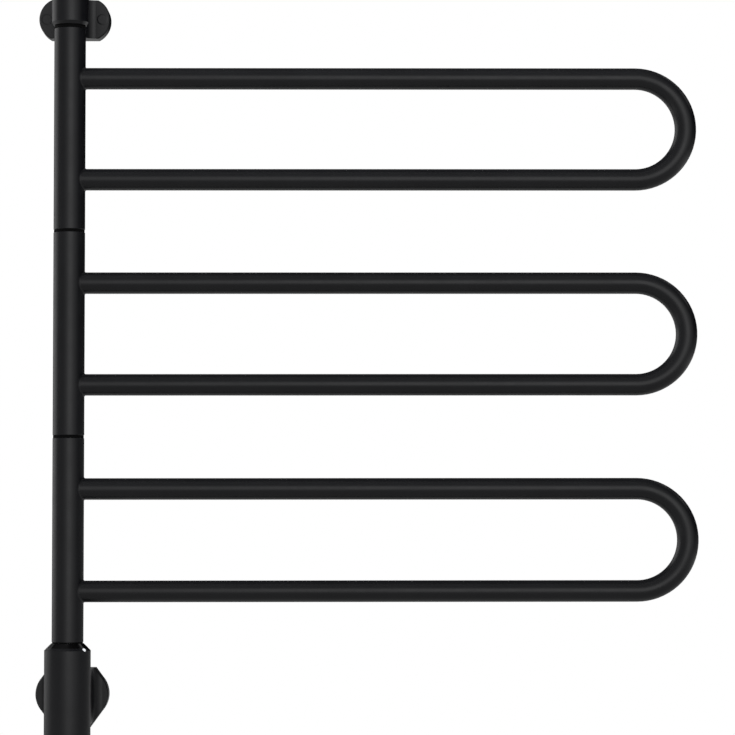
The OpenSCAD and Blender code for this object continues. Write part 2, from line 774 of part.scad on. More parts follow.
module lower_bracket() {
    tall = 2 * (lower_tip_drop + lower_tip_r);
    sweep_half = lower_neck_half + lower_sweep_r;
    color("#26272a") difference() {
        intersection() {
            translate([0, 0, -tall]) linear_extrude(2 * tall)
                bracket_plan(lower_plate_half, lower_neck_half, lower_sweep_r);
            from_wall(stand_off) below(lower_top);
            union() {
                lower_plate();
                // Neck and its sweep, inside the plate's bevel
                intersection() {
                    from_wall(lower_neck_front) union() {
                        lower_flanks(plate_bevel);
                        translate(lower_tip) circle(r = lower_tip_r - plate_bevel);
                        for (way = [-1, 1]) translate(way * lower_side)
                            circle(r = lower_side_r - plate_bevel);
                    }
                    translate([-sweep_half, -stand_off, -tall])
                        cube([2 * sweep_half, stand_off, 2 * tall]);
                }
            }
        }
        // Saddle against the housing
        at_post(-tall) cylinder(r = housing_r + fit_gap, h = 2 * tall);
        // Pocket for the supply cable and the wall screws
        translate([-pocket_half, -stand_off, pocket_bottom])
            cube([2 * pocket_half, stand_off - pocket_back, pocket_top - pocket_bottom]);
        for (side = [-1, 1]) translate([0, -pocket_back - eps, grommet_z + side * lower_screw_span / 2])
            rod_y(wall_screw_d / 2, pocket_back + 2 * eps);
        translate([0, -pocket_back - eps, grommet_z]) rod_y(grommet_r, pocket_back + 2 * eps);
        // Threads of the screws from the housing
        for (z = housing_screw_z) translate([0, -saddle_low - eps, z])
            rod_y(m4_r + fit_gap, m4_thread_l + eps);
    }
}

module supply_grommet() {
    color("#0c0c0c") translate([0, 0, grommet_z]) difference() {
        translate([0, -pocket_back - grommet_flange - fit_gap, 0]) {
            rod_y(pocket_half - lay_gap, grommet_flange);
            rod_y(grommet_r - fit_gap, pocket_back + grommet_flange + fit_gap - lay_gap);
        }
        translate([0, -pocket_back - 2, 0]) rod_y(entry_r, pocket_back + 3);
    }
}

// Pan-head screw along +Y with a hexagon socket, its head's seat at y = 0
module pan_screw(length) {
    difference() {
        union() {
            translate([0, -m4_head_h, 0]) rod_y(m4_head_r, m4_head_h);
            rod_y(m4_r, length);
        }
        translate([0, -m4_head_h - eps, 0]) rotate([-90, 0, 0])
            cylinder(r = m4_socket_r, h = m4_socket_h + eps, $fn = 6);
    }
}

module housing_screws() {
    seat = sqrt(housing_in_r * housing_in_r - m4_head_r * m4_head_r) - fit_gap;
    color("#9b9da0") for (z = housing_screw_z) at_post(z)
        translate([0, seat, 0]) pan_screw(m4_screw_l);
}

// Moves to the middle of each wall screw of the upper bracket, on the face of the plate
module at_upper_screws() {
    for (side = [-1, 1]) translate([side * (plate_half - upper_screw_inset), -plate_t, upper_z])
        children();
}

module upper_bracket() {
    sweep_half = neck_half + sweep_r;
    cap_hole_r = screw_cap_d / 2;
    color("#26272a") difference() {
        translate([0, 0, upper_z]) intersection() {
            translate([0, 0, -upper_half_h]) linear_extrude(2 * upper_half_h)
                bracket_plan(plate_half, neck_half, sweep_r);
            union() {
                upper_plate();
                // Neck and its sweep, as tall as the plate
                translate([-sweep_half, -stand_off, -upper_half_h])
                    cube([2 * sweep_half, stand_off, 2 * upper_half_h]);
            }
        }
        at_post(upper_z - collar_h) cylinder(r = collar_r + fit_gap, h = 2 * collar_h);
        at_upper_screws() {
            rod_y(wall_screw_d / 2, plate_t + eps);
            translate([0, -sweep_r, 0]) rod_y(cap_hole_r, sweep_r + plate_t - screw_cap_seat);
        }
        for (z = collar_screw_z) translate([0, -saddle_top - eps, upper_z + z])
            rod_y(m4_r + fit_gap, m4_thread_l + eps);
    }
}

// Caps with a gently sloped edge, pressed in over the heads of the wall screws
module upper_screw_caps() {
    r = screw_cap_d / 2 - fit_gap;
    color("#26272a") at_upper_screws() rotate([-90, 0, 0]) rotate_extrude() polygon([
        [0, -cap_proud], [r - cap_edge_w, -cap_proud], [r, 0], [r, screw_cap_t], [0, screw_cap_t]
    ]);
}

// Top collar

module top_collar() {
    lip_r = post_r + 0.6;
    color("#1d1e20") at_post() difference() {
        rotate_extrude() polygon([
            [collar_in_r, collar_bottom], [lip_r, collar_bottom],
            [collar_r, collar_bottom + collar_lip_h], [collar_r, collar_top],
            [collar_in_r, collar_top]
        ]);
        for (z = collar_screw_z) translate([0, 0, upper_z + z])
            rod_y(m4_r + 2 * fit_gap, collar_r + eps);
    }
}

module collar_screws() {
    seat = sqrt(collar_in_r * collar_in_r - m4_head_r * m4_head_r) - fit_gap;
    color("#9b9da0") for (z = collar_screw_z) at_post(upper_z + z)
        translate([0, seat, 0]) pan_screw(m4_screw_l);
}

// Bush in the collar that holds the top of the spine
module collar_insert() {
    color("#101011") at_post(insert_bottom)
        ring(collar_in_r - fit_gap, spine_r + fit_gap, insert_h);
}

module top_cap() {
    bevel = 2.5;
    color("#1d1e20") at_post() rotate_extrude() polygon([
        [0, collar_top - 5], [collar_in_r - fit_gap, collar_top - 5],
        [collar_in_r - fit_gap, collar_top + fit_gap], [collar_r, collar_top + fit_gap],
        [collar_r, collar_top + cap_h - bevel], [collar_r - bevel, collar_top + cap_h],
        [0, collar_top + cap_h]
    ]);
}

sleeve(0);  // lower_sleeve
arm(0);  // lower_arm
bush(sleeve_top(0) - bush_h);  // lower_top_bush
bush(sleeve_z(0));  // lower_bottom_bush
heating_cable(0);  // lower_heating_cable
cable_seal(0);  // lower_cable_seal
stop_pin(0);  // lower_stop_pin
sleeve(1);  // middle_sleeve
arm(1);  // middle_arm
bush(sleeve_top(1) - bush_h);  // middle_top_bush
bush(sleeve_z(1));  // middle_bottom_bush
heating_cable(1);  // middle_heating_cable
cable_seal(1);  // middle_cable_seal
stop_pin(1);  // middle_stop_pin
sleeve(2);  // upper_sleeve
arm(2);  // upper_arm
bush(sleeve_top(2) - bush_h);  // upper_top_bush
bush(sleeve_z(2));  // upper_bottom_bush
heating_cable(2);  // upper_heating_cable
cable_seal(2);  // upper_cable_seal
stop_pin(2);  // upper_stop_pin
spine_tube();
spine_foot();
spine_foot_screws();
seam_washer(shoulder_top, bottom_seam_h);  // bottom_seam_washer
seam_washer(sleeve_top(0), seam_h);  // lower_seam_washer
seam_washer(sleeve_top(1), seam_h);  // upper_seam_washer
seam_washer(sleeve_top(2), top_seam_h);  // top_seam_washer
stop_ring(0);  // lower_stop_ring
stop_ring(1);  // middle_stop_ring
stop_ring(2);  // upper_stop_ring
lead(0);  // lower_lead
lead(1);  // middle_lead
lead(2);  // upper_lead
splice(0);  // lower_splice
splice(1);  // middle_splice
splice(2);  // upper_splice
housing_tube();
shoulder_ring();
indicator_lens();
indicator_led();
control_board();
board_carrier();
arm_connector();
supply_terminal();
terminal_screws();
dial_switch();
bottom_cover();
cover_seal();
control_knob();
knob_shaft();
lower_bracket();
supply_grommet();
housing_screws();
upper_bracket();
upper_screw_caps();
top_collar();
collar_screws();
collar_insert();
top_cap();
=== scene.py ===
import math

import bmesh
import bpy
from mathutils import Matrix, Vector


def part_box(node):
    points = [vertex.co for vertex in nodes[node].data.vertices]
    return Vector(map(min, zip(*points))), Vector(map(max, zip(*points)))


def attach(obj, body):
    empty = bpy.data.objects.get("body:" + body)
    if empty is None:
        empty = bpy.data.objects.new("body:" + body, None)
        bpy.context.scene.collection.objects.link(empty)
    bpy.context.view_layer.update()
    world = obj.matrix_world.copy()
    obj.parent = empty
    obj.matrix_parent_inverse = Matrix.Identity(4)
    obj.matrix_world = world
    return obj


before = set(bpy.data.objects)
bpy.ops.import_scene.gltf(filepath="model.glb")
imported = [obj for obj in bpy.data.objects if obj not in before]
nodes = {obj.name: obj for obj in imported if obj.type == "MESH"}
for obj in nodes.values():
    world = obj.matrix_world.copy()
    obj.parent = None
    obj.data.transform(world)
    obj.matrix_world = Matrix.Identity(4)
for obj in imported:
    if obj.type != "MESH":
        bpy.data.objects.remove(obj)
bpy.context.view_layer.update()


# The photograph's camera
# A long lens at about the height of the lower arm, a little left of the rail's middle,
# tilted slightly upwards.
camera = bpy.data.objects.new("camera", bpy.data.cameras.new("camera"))
camera.data.sensor_width = 36
camera.data.lens = 140.82
camera.location = (0.25994, -2.797, 0.17867)
camera.rotation_euler = [math.radians(turn) for turn in (92.801, 0.0367, -0.5092)]
bpy.context.scene.collection.objects.link(camera)
bpy.context.scene.camera = camera
bpy.context.scene.view_settings.view_transform = "Standard"


# Wall brackets
# Two zinc castings that carry the post, one behind the housing and one behind the collar.
# They are powder coated in satin black, and the faces that meet the wall are milled bare.
cast_black = ((0.005, 0.0053, 0.0067), (0.0066, 0.007, 0.0084))
coat_ends = -0.0003
bare_begins = -0.0001


def feed(tree, socket, value):
    """Sets a socket to a value, or wires another node's output to it."""
    if isinstance(value, bpy.types.NodeSocket):
        tree.links.new(value, socket)
    else:
        socket.default_value = value


def add_node(tree, kind, inputs, **settings):
    """A shader node with its settings and what its sockets are fed."""
    node = tree.nodes.new("ShaderNode" + kind)
    for name, value in settings.items():
        setattr(node, name, value)
    for name, value in inputs.items():
        feed(tree, node.inputs[name], value)
    return node


def new_finish(name, roughness, metallic=0.0, specular=0.5):
    """A finish with its plain values set, and the place on the object that its grain is laid by."""
    finish = bpy.data.materials.new(name)
    finish.use_nodes = True
    tree = finish.node_tree
    shader = tree.nodes["Principled BSDF"]
    shader.inputs["Roughness"].default_value = roughness
    shader.inputs["Metallic"].default_value = metallic
    shader.inputs["Specular IOR Level"].default_value = specular
    place = add_node(tree, "TexCoord", {}).outputs["Object"]
    return finish, tree, shader, place


def vary(tree, shader, colour, roughness=None, surface=None):
    """Wires what changes over a finish into its shader."""
    for socket, source in (("Base Color", colour), ("Roughness", roughness), ("Normal", surface)):
        if source is not None:
            feed(tree, shader.inputs[socket], source)


def axis_of(tree, place, axis):
    """One coordinate of the place."""
    return add_node(tree, "SeparateXYZ", {"Vector": place}).outputs[axis]


def stretched(tree, place, x=1, y=1, z=1):
    """The same place scaled along each axis: below 1, the grain is drawn out that way."""
    return add_node(tree, "Mapping", {"Vector": place, "Scale": (x, y, z)}).outputs["Vector"]


def noise_at(tree, place, per_metre, detail=2.0):
    """Soft noise with that many waves to the metre."""
    inputs = {"Vector": place, "Scale": per_metre, "Detail": detail}
    return add_node(tree, "TexNoise", inputs).outputs["Fac"]


def mottle(tree, amount, dark, pale):
    """Colours that run from dark to pale over the middle of the amount's range."""
    ramp = add_node(tree, "ValToRGB", {"Fac": amount})
    for stop, at, colour in zip(ramp.color_ramp.elements, (0.35, 0.65), (dark, pale)):
        stop.position = at
        stop.color = (*colour, 1)
    return ramp.outputs["Color"]


def between(tree, amount, low, high, start=0.3, end=0.7):
    """A number that runs from low to high as the amount runs from start to end."""
    inputs = {"Value": amount, "From Min": start, "From Max": end, "To Min": low, "To Max": high}
    return add_node(tree, "MapRange", inputs).outputs["Result"]


def two_tone(tree, share, first, second):
    """The first colour, and the second where its share is 1."""
    mix = add_node(tree, "Mix", {"Factor": share}, data_type="RGBA")
    colour_sockets = [socket for socket in mix.inputs if socket.type == "RGBA"]
    for socket, colour in zip(colour_sockets, (first, second)):
        feed(tree, socket, colour)
    return next(socket for socket in mix.outputs if socket.type == "RGBA")


def raised(tree, height, depth, over=None):
    """A surface raised by the height, depth metres at most, over another such surface."""
    inputs = {"Height": height, "Distance": depth, "Strength": 1.0}
    if over is not None:
        inputs["Normal"] = over
    return add_node(tree, "Bump", inputs).outputs["Normal"]


def dress(finish, *names):
    """Gives CAD nodes their finish."""
    for name in names:
        for slot in nodes[name].material_slots:
            slot.material = finish


cast_coat, tree, shader, place = new_finish("cast_black_coat", roughness=0.3)
coat_colour = mottle(tree, noise_at(tree, place, per_metre=45), *cast_black)
cutter_marks = noise_at(tree, stretched(tree, place, z=30), per_metre=90)
bare_zinc = mottle(tree, cutter_marks, dark=(0.16, 0.16, 0.17), pale=(0.3, 0.3, 0.31))
milled = between(tree, axis_of(tree, place, "Y"), low=0, high=1, start=coat_ends, end=bare_begins)
vary(
    tree, shader,
    colour=two_tone(tree, milled, coat_colour, bare_zinc),
    roughness=between(tree, noise_at(tree, place, per_metre=70), low=0.28, high=0.33),
    surface=raised(tree, noise_at(tree, place, per_metre=900, detail=3), depth=0.00002))
tree.links.new(milled, shader.inputs["Metallic"])
dress(cast_coat, "lower_bracket", "upper_bracket")


# Screw caps of the upper bracket
# Discs of black plastic with a gently sloped edge, moulded, lacquered in the castings' satin
# black so that they hardly show, and pressed in over the heads of the two wall screws.
cap_lacquer, tree, shader, place = new_finish("satin_cap_lacquer", roughness=0.31)
vary(
    tree, shader,
    colour=mottle(tree, noise_at(tree, place, per_metre=45), *cast_black),
    surface=raised(tree, noise_at(tree, place, per_metre=900, detail=3), depth=0.000016))
dress(cap_lacquer, "upper_screw_caps")


# Supply grommet and cover seal
# A soft ring in the floor of the lower bracket's pocket takes the supply cable out of the
# wall, and another seals the bottom cover. Both are moulded rubber with its dusty matt skin.
rubber, tree, shader, place = new_finish("black_rubber", roughness=0.75, specular=0.3)
skin = noise_at(tree, place, per_metre=300, detail=4)
vary(
    tree, shader,
    colour=mottle(tree, skin, dark=(0.006, 0.006, 0.006), pale=(0.014, 0.014, 0.014)),
    surface=raised(tree, noise_at(tree, place, per_metre=3500, detail=3), depth=0.00002))
dress(rubber, "supply_grommet", "cover_seal")


# Housing tube
# A length of steel tube with turned rims that stands round the electronics. It has the rail's
# own finish, satin black powder coat, baked to a faint orange peel.
coat_black = ((0.0046, 0.0048, 0.0064), (0.006, 0.0063, 0.008))
tube_coat, tree, shader, place = new_finish("black_powder_coat", roughness=0.32)
peel = raised(tree, noise_at(tree, place, per_metre=650), depth=0.000012)
vary(
    tree, shader,
    colour=mottle(tree, noise_at(tree, place, per_metre=35), *coat_black),
    roughness=between(tree, noise_at(tree, place, per_metre=60), low=0.29, high=0.35),
    surface=raised(tree, noise_at(tree, place, per_metre=3200), depth=0.000004, over=peel))
dress(tube_coat, "housing_tube")


# Screws of the housing, the collar and the foot, and stop pins
# Small machine screws, zinc plated where the housing and the collar hide them. Those that hold
# the spine's foot, and the pins that end each arm's swing, are blackened.
zinc, tree, shader, place = new_finish("zinc_plated_steel", roughness=0.35, metallic=1.0)
plating = noise_at(tree, place, per_metre=400, detail=3)
vary(
    tree, shader,
    colour=mottle(tree, plating, dark=(0.42, 0.43, 0.45), pale=(0.6, 0.6, 0.58)),
    roughness=between(tree, noise_at(tree, place, per_metre=900), low=0.28, high=0.45))
dress(zinc, "housing_screws", "collar_screws")
black_steel, tree, shader, place = new_finish("blackened_steel", roughness=0.45, metallic=1.0)
oxide = noise_at(tree, place, per_metre=500, detail=3)
vary(
    tree, shader,
    colour=mottle(tree, oxide, dark=(0.03, 0.03, 0.032), pale=(0.06, 0.06, 0.065)),
    roughness=between(tree, noise_at(tree, place, per_metre=900), low=0.38, high=0.52))
dress(black_steel, "spine_foot_screws", "lower_stop_pin", "middle_stop_pin", "upper_stop_pin")


# Shoulder ring
# A cone of glossy black plastic that closes the housing round the post. It is moulded
# and polished, so it mirrors more than the coat does.
gloss_black, tree, shader, place = new_finish("gloss_black_plastic", roughness=0.12, specular=0.22)
flow = noise_at(tree, place, per_metre=80)
vary(
    tree, shader,
    colour=mottle(tree, flow, dark=(0.0018, 0.0018, 0.002), pale=(0.0026, 0.0026, 0.0028)),
    roughness=between(tree, noise_at(tree, place, per_metre=150), low=0.09, high=0.15))
dress(gloss_black, "shoulder_ring")


# Indicator lamp
# A domed lens of white acrylic set in the housing's bevelled rim, lit from behind by a small
# clear lamp whose wire runs down to the board.
lens_white, tree, shader, place = new_finish("lit_white_acrylic", roughness=0.2)
clouding = noise_at(tree, place, per_metre=400)
vary(tree, shader, colour=mottle(tree, clouding, dark=(0.8, 0.82, 0.83), pale=(0.9, 0.91, 0.92)))
shader.inputs["Emission Color"].default_value = (0.9, 0.95, 1, 1)
shader.inputs["Emission Strength"].default_value = 0.35
dress(lens_white, "indicator_lens")
lamp_clear, tree, shader, place = new_finish("clear_lamp_resin", roughness=0.15)
clouding = noise_at(tree, place, per_metre=500)
vary(tree, shader, colour=mottle(tree, clouding, dark=(0.62, 0.65, 0.66), pale=(0.78, 0.8, 0.8)))
dress(lamp_clear, "indicator_led")


# Spine and knob shaft
# A fixed steel tube, brushed along its length, that the three sleeves turn on. It stands in
# a turned foot inside the housing. The knob's shaft is brushed steel too.
spine_steel, tree, shader, place = new_finish("brushed_spine_steel", roughness=0.3, metallic=1.0)
brushed = noise_at(tree, stretched(tree, place, z=0.02), per_metre=2500, detail=3)
vary(
    tree, shader,
    colour=mottle(tree, brushed, dark=(0.36, 0.37, 0.38), pale=(0.52, 0.52, 0.53)),
    roughness=between(tree, brushed, low=0.24, high=0.4),
    surface=raised(tree, brushed, depth=0.00001))
dress(spine_steel, "spine_tube", "knob_shaft")
turned_steel, tree, shader, place = new_finish("turned_foot_steel", roughness=0.32, metallic=1.0)
turning = noise_at(tree, stretched(tree, place, x=0.02, y=0.02), per_metre=3000)
vary(
    tree, shader,
    colour=mottle(tree, turning, dark=(0.34, 0.35, 0.36), pale=(0.5, 0.5, 0.51)),
    surface=raised(tree, turning, depth=0.00001))
dress(turned_steel, "spine_foot")


# Bearings and seam washers
# Black acetal bushes in the ends of each sleeve and in the collar, rings with a stop lug on
# the spine, and the matt washers that show as the dark seams. The acetal is turned in rings.
acetal, tree, shader, place = new_finish("black_acetal", roughness=0.5, specular=0.4)
rings = noise_at(tree, stretched(tree, place, x=0.05, y=0.05), per_metre=2500)
vary(
    tree, shader,
    colour=mottle(tree, rings, dark=(0.005, 0.005, 0.0055), pale=(0.009, 0.009, 0.01)),
    surface=raised(tree, rings, depth=0.00001))
sections = ("lower", "middle", "upper")
for section in sections:
    dress(acetal, section + "_top_bush", section + "_bottom_bush", section + "_stop_ring")
dress(acetal, "collar_insert")
washer_matt, tree, shader, place = new_finish("matt_washer", roughness=0.8, specular=0.15)
fibres = noise_at(tree, place, per_metre=900, detail=3)
vary(
    tree, shader,
    colour=mottle(tree, fibres, dark=(0.0012, 0.0012, 0.0013), pale=(0.0024, 0.0024, 0.0026)))
dress(washer_matt, "bottom_seam_washer", "lower_seam_washer", "upper_seam_washer", "top_seam_washer")


# Swivel sleeves and arms
# Three sleeves turn on the spine, and each carries one hairpin of steel tube. They are
# welded and then powder coated as one piece, in the same coat as the housing.
for section in sections:
    dress(tube_coat, section + "_sleeve", section + "_arm")


# Weld beads
# A small round of weld closes each joint of a bar to its sleeve. It follows the saddle where
# the two tubes meet, is ground nearly smooth, and the coat runs over it.
post_y = -0.062
sleeve_r = 0.015
bar_r = 0.01025
bead_w = 0.0015
bead_sunk = 0.0002
slow_waves, slow_swell = 5, 0.07
quick_waves, quick_swell = 13, 0.04
phase_per_metre = 40
points_around = 96
points_across = 7
bar_levels = {"lower": (0.1, 0.197), "middle": (0.296, 0.393), "upper": (0.492, 0.589)}


def on_saddle(level, turn, radius, out=0.0):
    """A point of the sleeve's face at a turn and radius round a bar, moved out along the bar."""
    side, rise = radius * math.sin(turn), radius * math.cos(turn)
    return Vector((math.sqrt(sleeve_r ** 2 - side ** 2) + out, post_y + side, level + rise))


def weld_bead(name, level):
    """A ring of weld round one bar, from the sleeve's face in a hollow curve to the bar's."""
    bead = bmesh.new()
    rows = []
    for i in range(points_around):
        turn = 2 * math.pi * i / points_around
        slow = slow_swell * math.sin(slow_waves * turn + phase_per_metre * level)
        width = bead_w * (1 + slow + quick_swell * math.sin(quick_waves * turn))
        from_sleeve = on_saddle(level, turn, bar_r + width)
        corner = on_saddle(level, turn, bar_r)
        to_bar = on_saddle(level, turn, bar_r, width)
        inside = on_saddle(level, turn, bar_r - bead_sunk, -bead_sunk)
        row = []
        for k in range(points_across):
            t = k / (points_across - 1)
            point = (1 - t) ** 2 * from_sleeve + 2 * t * (1 - t) * corner + t ** 2 * to_bar
            sink = bead_sunk * abs(2 * t - 1) ** 3
            row.append(bead.verts.new(point.lerp(inside, sink / max((point - inside).length, sink))))
        row.append(bead.verts.new(inside))
        rows.append(row)
    for i in range(points_around):
        here, after = rows[i], rows[(i + 1) % points_around]
        for k in range(len(here)):
            j = (k + 1) % len(here)
            bead.faces.new((here[k], here[j], after[j], after[k])).smooth = True
    bmesh.ops.recalc_face_normals(bead, faces=bead.faces)
    mesh = bpy.data.meshes.new(name)
    bead.to_mesh(mesh)
    bead.free()
    mesh.materials.append(tube_coat)
    piece = bpy.data.objects.new(name, mesh)
    bpy.context.scene.collection.objects.link(piece)
    return piece


for section, levels in bar_levels.items():
    for end, level in zip(("lower", "upper"), levels):
        bead = weld_bead(f"{section}_arm_{end}_weld", level)
        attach(bead, section + "_swing")


# Heating cables and supply leads
# A silicone-sheathed heating cable lies in each arm. Its cold end wears a shrunk cap, and a
# crimped splice joins its other end to a lead that comes up the spine.
silicone, tree, shader, place = new_finish("brown_silicone_sheath", roughness=0.55, specular=0.4)
pigment = noise_at(tree, place, per_metre=250, detail=3)
vary(
    tree, shader,
    colour=mottle(tree, pigment, dark=(0.2, 0.035, 0.015), pale=(0.3, 0.06, 0.025)),
    surface=raised(tree, noise_at(tree, place, per_metre=1800), depth=0.00002))
lead_skin, tree, shader, place = new_finish("black_lead_insulation", roughness=0.45)
scuffs = noise_at(tree, place, per_metre=350)
vary(
    tree, shader,
    colour=mottle(tree, scuffs, dark=(0.008, 0.008, 0.009), pale=(0.014, 0.014, 0.015)),
    surface=raised(tree, noise_at(tree, place, per_metre=2000), depth=0.00001))
tinned, tree, shader, place = new_finish("tinned_splice", roughness=0.35, metallic=1.0)
tinning = noise_at(tree, place, per_metre=700, detail=3)
vary(
    tree, shader,
    colour=mottle(tree, tinning, dark=(0.45, 0.45, 0.46), pale=(0.66, 0.66, 0.64)),
    roughness=between(tree, noise_at(tree, place, per_metre=1200), low=0.25, high=0.5))
for section in sections:
    dress(silicone, section + "_heating_cable")
    dress(rubber, section + "_cable_seal")
    dress(lead_skin, section + "_lead")
    dress(tinned, section + "_splice")


# Control board and what stands on it
# A green laminate board with copper runs under its varnish, slid into two plastic rails. It
# bears a plug for the arm leads and a screw terminal for the supply.
runs_per_metre = 160
run_width = 0.04
board_greens = {
    "Color1": (0.012, 0.06, 0.025, 1), "Color2": (0.016, 0.075, 0.03, 1), "Mortar": (0.05, 0.14, 0.06, 1)}
board_green, tree, shader, place = new_finish("board_varnish", roughness=0.3)
copper_runs = add_node(
    tree, "TexBrick",
    {"Vector": place, "Scale": runs_per_metre, "Mortar Size": run_width, **board_greens})
vary(
    tree, shader,
    colour=copper_runs.outputs["Color"],
    surface=raised(tree, copper_runs.outputs["Fac"], depth=0.00003))
dress(board_green, "control_board")
plug_green, tree, shader, place = new_finish("green_plug_plastic", roughness=0.4)
pigment = noise_at(tree, place, per_metre=200)
vary(
    tree, shader,
    colour=mottle(tree, pigment, dark=(0.03, 0.2, 0.07), pale=(0.04, 0.26, 0.09)),
    surface=raised(tree, noise_at(tree, place, per_metre=2400), depth=0.00001))
dress(plug_green, "arm_connector")
terminal_grey, tree, shader, place = new_finish("grey_terminal_plastic", roughness=0.45)
pigment = noise_at(tree, place, per_metre=200)
vary(
    tree, shader,
    colour=mottle(tree, pigment, dark=(0.5, 0.52, 0.48), pale=(0.6, 0.61, 0.57)),
    surface=raised(tree, noise_at(tree, place, per_metre=2400), depth=0.00001))
dress(terminal_grey, "supply_terminal")
brass, tree, shader, place = new_finish("brass_terminal_screw", roughness=0.3, metallic=1.0)
tarnish = noise_at(tree, place, per_metre=600, detail=3)
vary(
    tree, shader,
    colour=mottle(tree, tarnish, dark=(0.5, 0.34, 0.11), pale=(0.68, 0.5, 0.2)),
    roughness=between(tree, noise_at(tree, place, per_metre=1500), low=0.22, high=0.42))
dress(brass, "terminal_screws")
moulded_black, tree, shader, place = new_finish("moulded_black_plastic", roughness=0.48)
flow = noise_at(tree, place, per_metre=140)
vary(
    tree, shader,
    colour=mottle(tree, flow, dark=(0.007, 0.007, 0.008), pale=(0.011, 0.011, 0.012)),
    surface=raised(tree, noise_at(tree, place, per_metre=2200, detail=3), depth=0.000018))
dress(moulded_black, "board_carrier", "dial_switch")


# Bottom cover and knob
# A moulded cover closes the housing from below, and the knob under it turns the switch. The
# knob is coated like the housing, and a thin white line on its front shows its setting.
dress(moulded_black, "bottom_cover")
printed_white = (0.75, 0.75, 0.73, 1)
line_half = 0.0006
line_ends_short = 0.0015
line_front = post_y - 0.02
print_edge = 0.0001
knob_low, knob_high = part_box("control_knob")
line_low = knob_low.z + line_ends_short
line_high = knob_high.z - line_ends_short


def arithmetic(tree, operation, first, second=0.0):
    """What one operation makes of two numbers, or of the first alone."""
    return add_node(tree, "Math", {0: first, 1: second}, operation=operation).outputs[0]


knob_coat, tree, shader, place = new_finish("knob_coat_with_line", roughness=0.32)
off_centre = arithmetic(tree, "ABSOLUTE", axis_of(tree, place, "X"))
line = between(tree, off_centre, low=1, high=0, start=line_half - print_edge, end=line_half)
for axis, low, high, limit in (("Z", 1, 0, line_high), ("Z", 0, 1, line_low), ("Y", 1, 0, line_front)):
    within = between(tree, axis_of(tree, place, axis), low, high, limit - print_edge, limit)
    line = arithmetic(tree, "MULTIPLY", line, within)
knob_black = mottle(tree, noise_at(tree, place, per_metre=35), *coat_black)
vary(
    tree, shader,
    colour=two_tone(tree, line, knob_black, printed_white),
    roughness=between(tree, noise_at(tree, place, per_metre=60), low=0.29, high=0.35),
    surface=raised(tree, noise_at(tree, place, per_metre=650), depth=0.000012))
dress(knob_coat, "control_knob")


# Top collar and cap
# A short wide tube screwed to the upper bracket holds the head of the spine. Its cap is turned
# from bar, and both have the powder coat.
dress(tube_coat, "top_collar", "top_cap")


# Floor
# A round pale floor well below the rail. It takes the soft shadow near the rail and fades to
# white further out, so that no edge shows.
floor_x = 0.3
floor_z = -0.75
floor_r = 3.5
shadow_r = 1.3
all_white_r = floor_r * 0.9


def round_sheet(name, radius, z):
    """A flat round sheet, level at the given height and centred under the rail."""
    made = bmesh.new()
    bmesh.ops.create_circle(made, cap_ends=True, segments=96, radius=radius)
    mesh = bpy.data.meshes.new(name)
    made.to_mesh(mesh)
    made.free()
    sheet = bpy.data.objects.new(name, mesh)
    sheet.location = (floor_x, post_y, z)
    bpy.context.scene.collection.objects.link(sheet)
    return sheet


def seen_directly(tree):
    """1 for what the camera sees itself, in a mirror or through glass, and 0 for light."""
    path = add_node(tree, "LightPath", {})
    seen = path.outputs["Is Camera Ray"]
    for ray in ("Is Glossy Ray", "Is Transmission Ray"):
        seen = arithmetic(tree, "MAXIMUM", seen, path.outputs[ray])
    return seen


floor = round_sheet("floor", floor_r, floor_z)
floor_paint, tree, shader, place = new_finish("pale_floor", roughness=0.9, specular=0.1)
clouding = noise_at(tree, place, per_metre=3)
vary(tree, shader, colour=mottle(tree, clouding, dark=(0.8, 0.8, 0.8), pale=(0.82, 0.82, 0.82)))
from_middle = add_node(tree, "VectorMath", {0: place}, operation="LENGTH").outputs["Value"]
far_out = between(tree, from_middle, low=0, high=1, start=shadow_r, end=all_white_r)
whiteness = arithmetic(tree, "MULTIPLY", far_out, seen_directly(tree))
white = add_node(tree, "Emission", {"Color": (1, 1, 1, 1), "Strength": 1.0}).outputs[0]
fading = add_node(tree, "MixShader", {0: whiteness, 1: shader.outputs[0], 2: white}).outputs[0]
tree.links.new(fading, tree.nodes["Material Output"].inputs["Surface"])
floor.data.materials.append(floor_paint)


# World
# White to the eye on every side, as in the photograph, and a soft even light on the rail.
light_of_room = 0.45
white_seen = 1
world = bpy.data.worlds.new("white_room")
world.use_nodes = True
bpy.context.scene.world = world
tree = world.node_tree
backdrop = tree.nodes["Background"]
backdrop.inputs["Color"].default_value = (1, 1, 1, 1)
brightness = between(tree, seen_directly(tree), light_of_room, white_seen, start=0, end=1)
tree.links.new(brightness, backdrop.inputs["Strength"])


# Studio cloths
# A wide dome of cloths with a gap on the rail's left, and one on the floor, keep its paint black.
# A few are lit to draw soft highlights. The camera doesn't see them, and they stop no light.
dome_r = 9
dome_centre = (0, post_y, 0.18)
gap_bearings = (-140, -89)
gap_heights = (-5, 34)
cloth_overhang = 0.1
cloth_lift = 0.01


def bearing(place):
    """The angle at which a place lies round the rail: 0 towards the viewer, 90 to the right."""
    return math.degrees(math.atan2(place.x, -place.y))


def elevation(place):
    """The angle at which a place lies above the level of the lower arm."""
    return math.degrees(math.asin(place.normalized().z))


